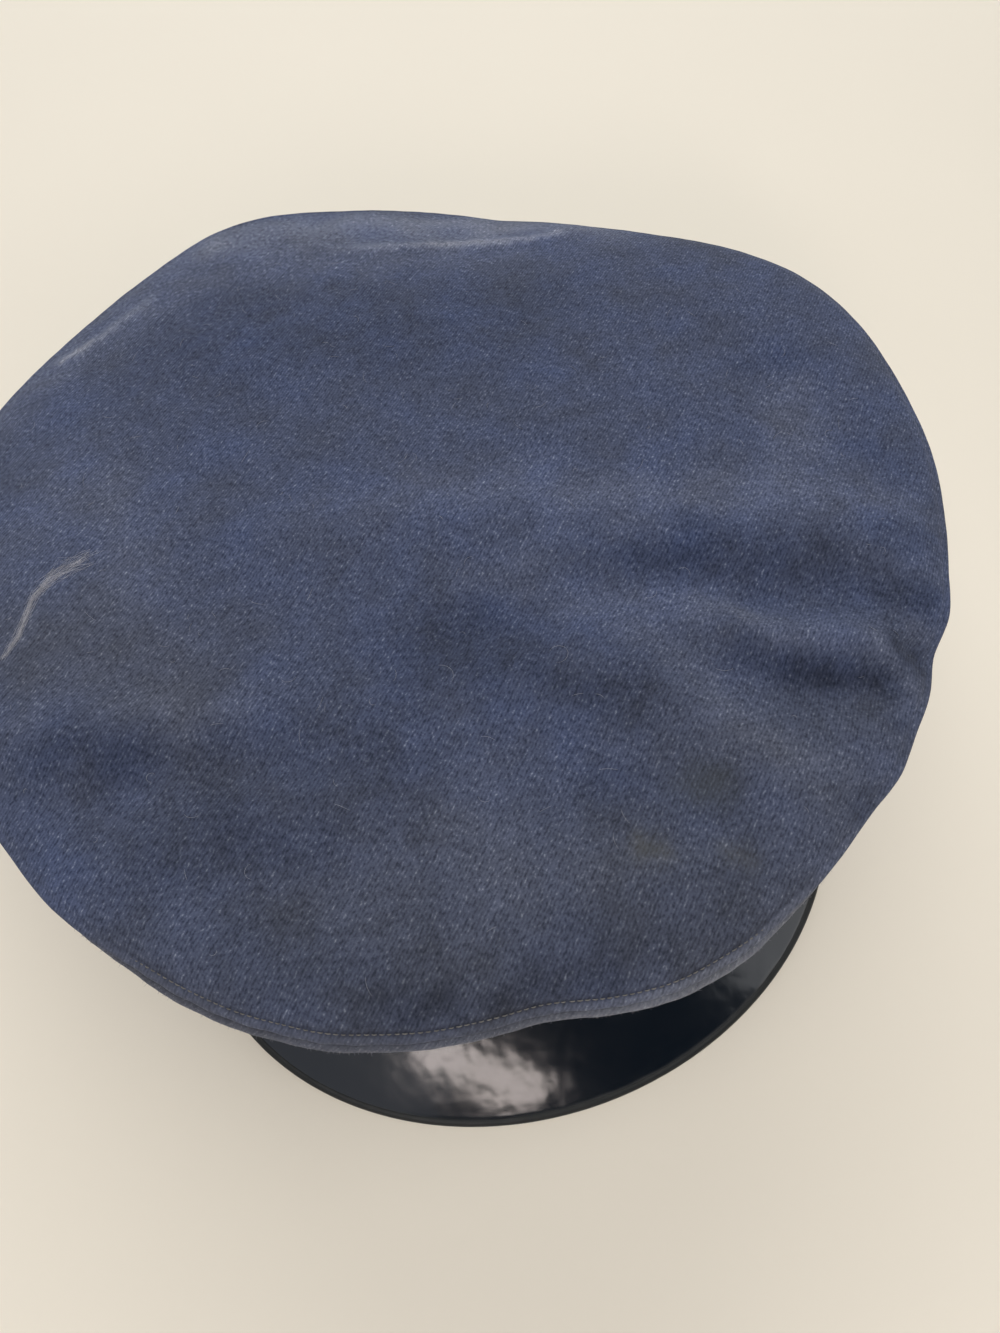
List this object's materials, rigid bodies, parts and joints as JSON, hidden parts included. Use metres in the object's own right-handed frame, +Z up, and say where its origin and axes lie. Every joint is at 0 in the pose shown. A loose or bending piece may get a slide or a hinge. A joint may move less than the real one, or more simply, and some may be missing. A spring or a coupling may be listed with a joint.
{
  "type": "visor cap",
  "caption": "Peaked cap with a large soft round twill crown, piped rim, oval head band and a short glossy black bound visor, resting on its band and visor.",
  "frame": {"origin": "centre of the cap's footprint box, on the surface that it rests on", "axes": "+Z up, -Y towards the front of the visor, +X towards the wearer's left"},
  "size_m": [0.2682, 0.2858, 0.1087],
  "materials": {
    "twill": "faded blue-grey wool and cotton twill, matt with lint and a few stains",
    "patent": "black lacquered leather, high gloss with a fine uneven skin",
    "binding": "black lacquered leather strip, gloss, rubbed along its edge"
  },
  "bodies": {
    "root": {"crown_top": "twill", "edge_welt": "twill", "quarter_front_left": "twill", "quarter_front_right": "twill", "quarter_back_left": "twill", "quarter_back_right": "twill", "head_band": "twill", "visor": "patent", "visor_binding": "binding"}
  },
  "joints": []
}
